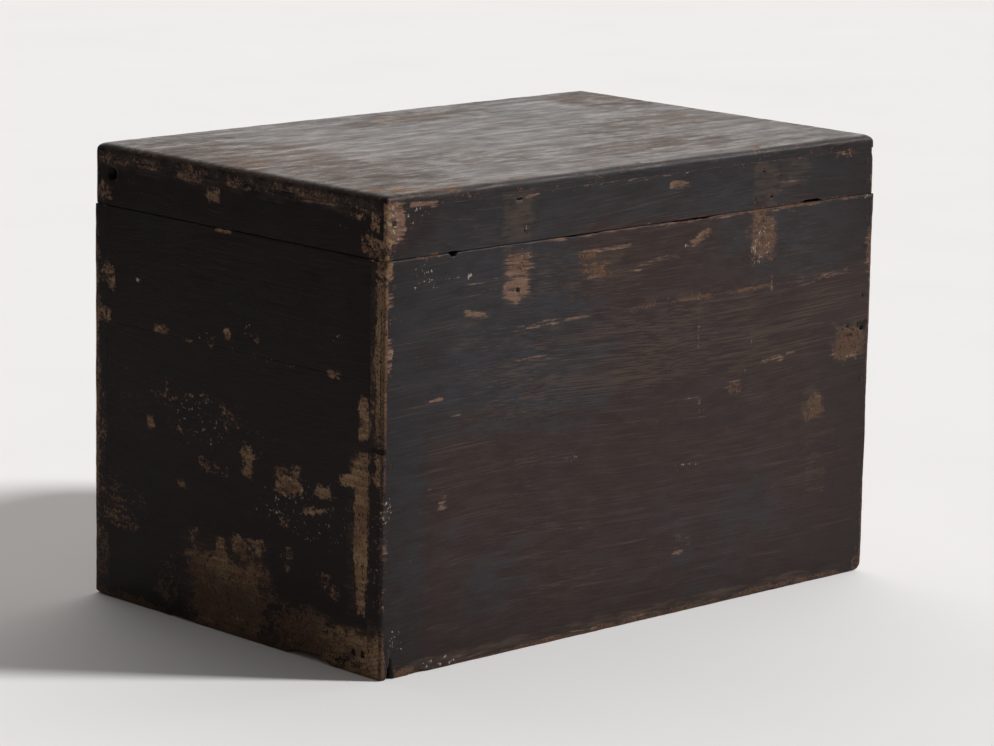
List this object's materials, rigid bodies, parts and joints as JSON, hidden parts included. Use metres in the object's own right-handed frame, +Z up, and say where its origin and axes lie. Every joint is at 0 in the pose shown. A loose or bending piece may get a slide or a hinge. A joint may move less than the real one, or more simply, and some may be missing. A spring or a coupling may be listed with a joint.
{
  "type": "storage chest",
  "caption": "Rectangular pine storage chest of tongued and nailed boards in worn dark paint, with a shallow box lid that lifts on iron hinges at the back; holds blankets or linen.",
  "frame": {"origin": "centre of the footprint, hinges included, on the floor", "axes": "+X along the front from left to right, +Y from the front to the back, +Z up"},
  "size_m": [0.735, 0.4804, 0.5],
  "materials": {
    "painted_pine": "brown-black paint worn through to a reddish undercoat and bare pine",
    "bare_pine": "unfinished aged pine",
    "nail_iron": "dark oxidised iron, painted over on the outside",
    "hinge_iron": "dark oxidised wrought iron"
  },
  "bodies": {
    "carcass": {"front_board_upper": "painted_pine", "front_board_lower": "painted_pine", "back_board_upper": "painted_pine", "back_board_lower": "painted_pine", "left_end_board_upper": "painted_pine", "left_end_board_lower": "painted_pine", "right_end_board_upper": "painted_pine", "right_end_board_lower": "painted_pine", "bottom_board_1": "bare_pine", "bottom_board_2": "bare_pine", "bottom_board_3": "bare_pine", "bottom_board_4": "bare_pine", "bottom_board_5": "bare_pine", "front_corner_nails": "nail_iron", "back_corner_nails": "nail_iron", "hinge_carcass_nails": "nail_iron", "left_hinge_carcass_leaf": "hinge_iron", "left_hinge_pin": "hinge_iron", "right_hinge_carcass_leaf": "hinge_iron", "right_hinge_pin": "hinge_iron"},
    "lid": {"lid_front_rail": "painted_pine", "lid_back_rail": "painted_pine", "lid_left_rail": "painted_pine", "lid_right_rail": "painted_pine", "lid_top_board_front": "painted_pine", "lid_top_board_back": "painted_pine", "lid_corner_nails": "nail_iron", "lid_top_nails": "nail_iron", "hinge_lid_nails": "nail_iron", "left_hinge_lid_leaf": "hinge_iron", "right_hinge_lid_leaf": "hinge_iron"}
  },
  "joints": [
    {"name": "lid_hinge", "type": "hinge", "parent": "carcass", "child": "lid", "pos_m": [0, 0.23515, 0.434], "axis": [-1, 0, 0], "range_deg": [0, 105]}
  ]
}
